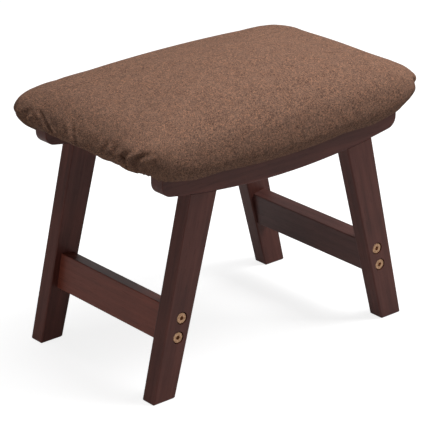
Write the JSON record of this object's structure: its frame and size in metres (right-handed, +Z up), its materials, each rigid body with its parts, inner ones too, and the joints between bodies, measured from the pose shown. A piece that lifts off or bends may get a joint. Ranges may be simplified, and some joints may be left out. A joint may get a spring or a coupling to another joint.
{
  "type": "footstool",
  "caption": "Low wooden footstool with a padded, gently dished fabric seat on splayed legs joined by end stretchers.",
  "frame": {"origin": "middle of the footprint, on the floor", "axes": "+X along the seat, +Y towards the rear long side, +Z up"},
  "size_m": [0.478, 0.2862, 0.3575],
  "materials": {
    "stained_wood": "satin stain",
    "dowel_wood": "plain",
    "plywood": "plain",
    "bolt_brass": "antique",
    "insert_steel": "zinc",
    "screw_steel": "zinc",
    "foam": "open cell foam",
    "cover_fabric": "mottled weave",
    "dust_cloth": "felted cloth"
  },
  "bodies": {
    "root": {"bolt_front_left_lower": "bolt_brass", "bolt_front_left_upper": "bolt_brass", "bolt_front_right_lower": "bolt_brass", "bolt_front_right_upper": "bolt_brass", "bolt_rear_left_lower": "bolt_brass", "bolt_rear_left_upper": "bolt_brass", "bolt_rear_right_lower": "bolt_brass", "bolt_rear_right_upper": "bolt_brass", "dowel_front_left_inner": "dowel_wood", "dowel_front_left_outer": "dowel_wood", "dowel_front_right_inner": "dowel_wood", "dowel_front_right_outer": "dowel_wood", "dowel_rear_left_inner": "dowel_wood", "dowel_rear_left_outer": "dowel_wood", "dowel_rear_right_inner": "dowel_wood", "dowel_rear_right_outer": "dowel_wood", "dust_cover": "dust_cloth", "fabric_cover": "cover_fabric", "foam_pad": "foam", "front_apron": "stained_wood", "insert_front_left_lower": "insert_steel", "insert_front_left_upper": "insert_steel", "insert_front_right_lower": "insert_steel", "insert_front_right_upper": "insert_steel", "insert_rear_left_lower": "insert_steel", "insert_rear_left_upper": "insert_steel", "insert_rear_right_lower": "insert_steel", "insert_rear_right_upper": "insert_steel", "leg_front_left": "stained_wood", "leg_front_right": "stained_wood", "leg_rear_left": "stained_wood", "leg_rear_right": "stained_wood", "rear_apron": "stained_wood", "seat_board": "plywood", "seat_screw_front_left": "screw_steel", "seat_screw_front_right": "screw_steel", "seat_screw_rear_left": "screw_steel", "seat_screw_rear_right": "screw_steel", "staples": "screw_steel", "stretcher_left": "stained_wood", "stretcher_right": "stained_wood"}
  },
  "joints": []
}
